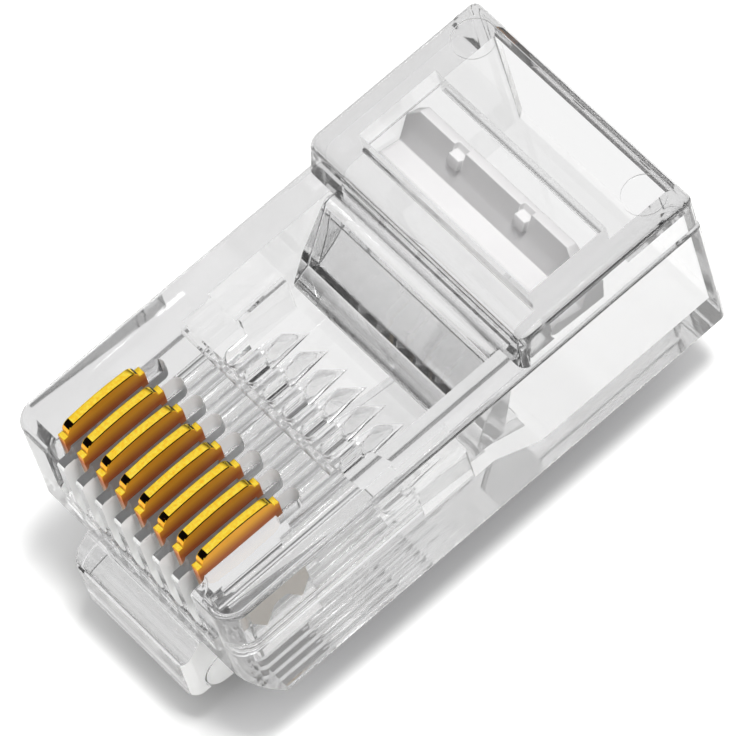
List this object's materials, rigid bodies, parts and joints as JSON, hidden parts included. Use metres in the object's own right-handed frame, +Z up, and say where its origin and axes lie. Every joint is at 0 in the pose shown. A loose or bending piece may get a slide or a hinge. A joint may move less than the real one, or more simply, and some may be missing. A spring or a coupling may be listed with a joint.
{
  "type": "rj45 modular plug",
  "caption": "Clear modular plug for network cable, not yet crimped, with gold contacts, a sprung latch lever and fold-down strain-relief bars.",
  "frame": {"origin": "under the middle of the plug, at the level of its lowest point, the end of the latch lever", "axes": "+Z up, square to the body, with the contacts on top; +Y from the nose to the cable end; +X across"},
  "size_m": [0.0116, 0.0226, 0.0117],
  "materials": {
    "clear_polycarbonate": "clear moulded polycarbonate, polished",
    "gold_plated_contact": "gold plating over stamped phosphor bronze"
  },
  "bodies": {
    "housing": {"housing": "clear_polycarbonate"},
    "latch_lever": {"latch_lever": "clear_polycarbonate"},
    "conductor_bar": {"conductor_strain_relief_bar": "clear_polycarbonate"},
    "cable_bar": {"cable_strain_relief_bar": "clear_polycarbonate"},
    "contact_1": {"contact_1": "gold_plated_contact"},
    "contact_2": {"contact_2": "gold_plated_contact"},
    "contact_3": {"contact_3": "gold_plated_contact"},
    "contact_4": {"contact_4": "gold_plated_contact"},
    "contact_5": {"contact_5": "gold_plated_contact"},
    "contact_6": {"contact_6": "gold_plated_contact"},
    "contact_7": {"contact_7": "gold_plated_contact"},
    "contact_8": {"contact_8": "gold_plated_contact"}
  },
  "joints": [
    {"name": "latch_hinge", "type": "hinge", "parent": "housing", "child": "latch_lever", "pos_m": [0, -0.00978, 0.00265], "axis": [1, 0, 0], "range_deg": [0, 10], "stiffness_Nm_per_rad": 0.3},
    {"name": "conductor_bar_hinge", "type": "hinge", "parent": "housing", "child": "conductor_bar", "pos_m": [0, 0.00298, 0.00965], "axis": [1, 0, 0], "range_deg": [0, 20]},
    {"name": "cable_bar_hinge", "type": "hinge", "parent": "housing", "child": "cable_bar", "pos_m": [0, 0.00513, 0.00985], "axis": [-1, 0, 0], "range_deg": [0, 40]},
    {"name": "contact_1_crimp", "type": "slide", "parent": "housing", "child": "contact_1", "axis": [0, 0, -1], "range_m": [0, 0.0015]},
    {"name": "contact_2_crimp", "type": "slide", "parent": "housing", "child": "contact_2", "axis": [0, 0, -1], "range_m": [0, 0.0015]},
    {"name": "contact_3_crimp", "type": "slide", "parent": "housing", "child": "contact_3", "axis": [0, 0, -1], "range_m": [0, 0.0015]},
    {"name": "contact_4_crimp", "type": "slide", "parent": "housing", "child": "contact_4", "axis": [0, 0, -1], "range_m": [0, 0.0015]},
    {"name": "contact_5_crimp", "type": "slide", "parent": "housing", "child": "contact_5", "axis": [0, 0, -1], "range_m": [0, 0.0015]},
    {"name": "contact_6_crimp", "type": "slide", "parent": "housing", "child": "contact_6", "axis": [0, 0, -1], "range_m": [0, 0.0015]},
    {"name": "contact_7_crimp", "type": "slide", "parent": "housing", "child": "contact_7", "axis": [0, 0, -1], "range_m": [0, 0.0015]},
    {"name": "contact_8_crimp", "type": "slide", "parent": "housing", "child": "contact_8", "axis": [0, 0, -1], "range_m": [0, 0.0015]}
  ]
}
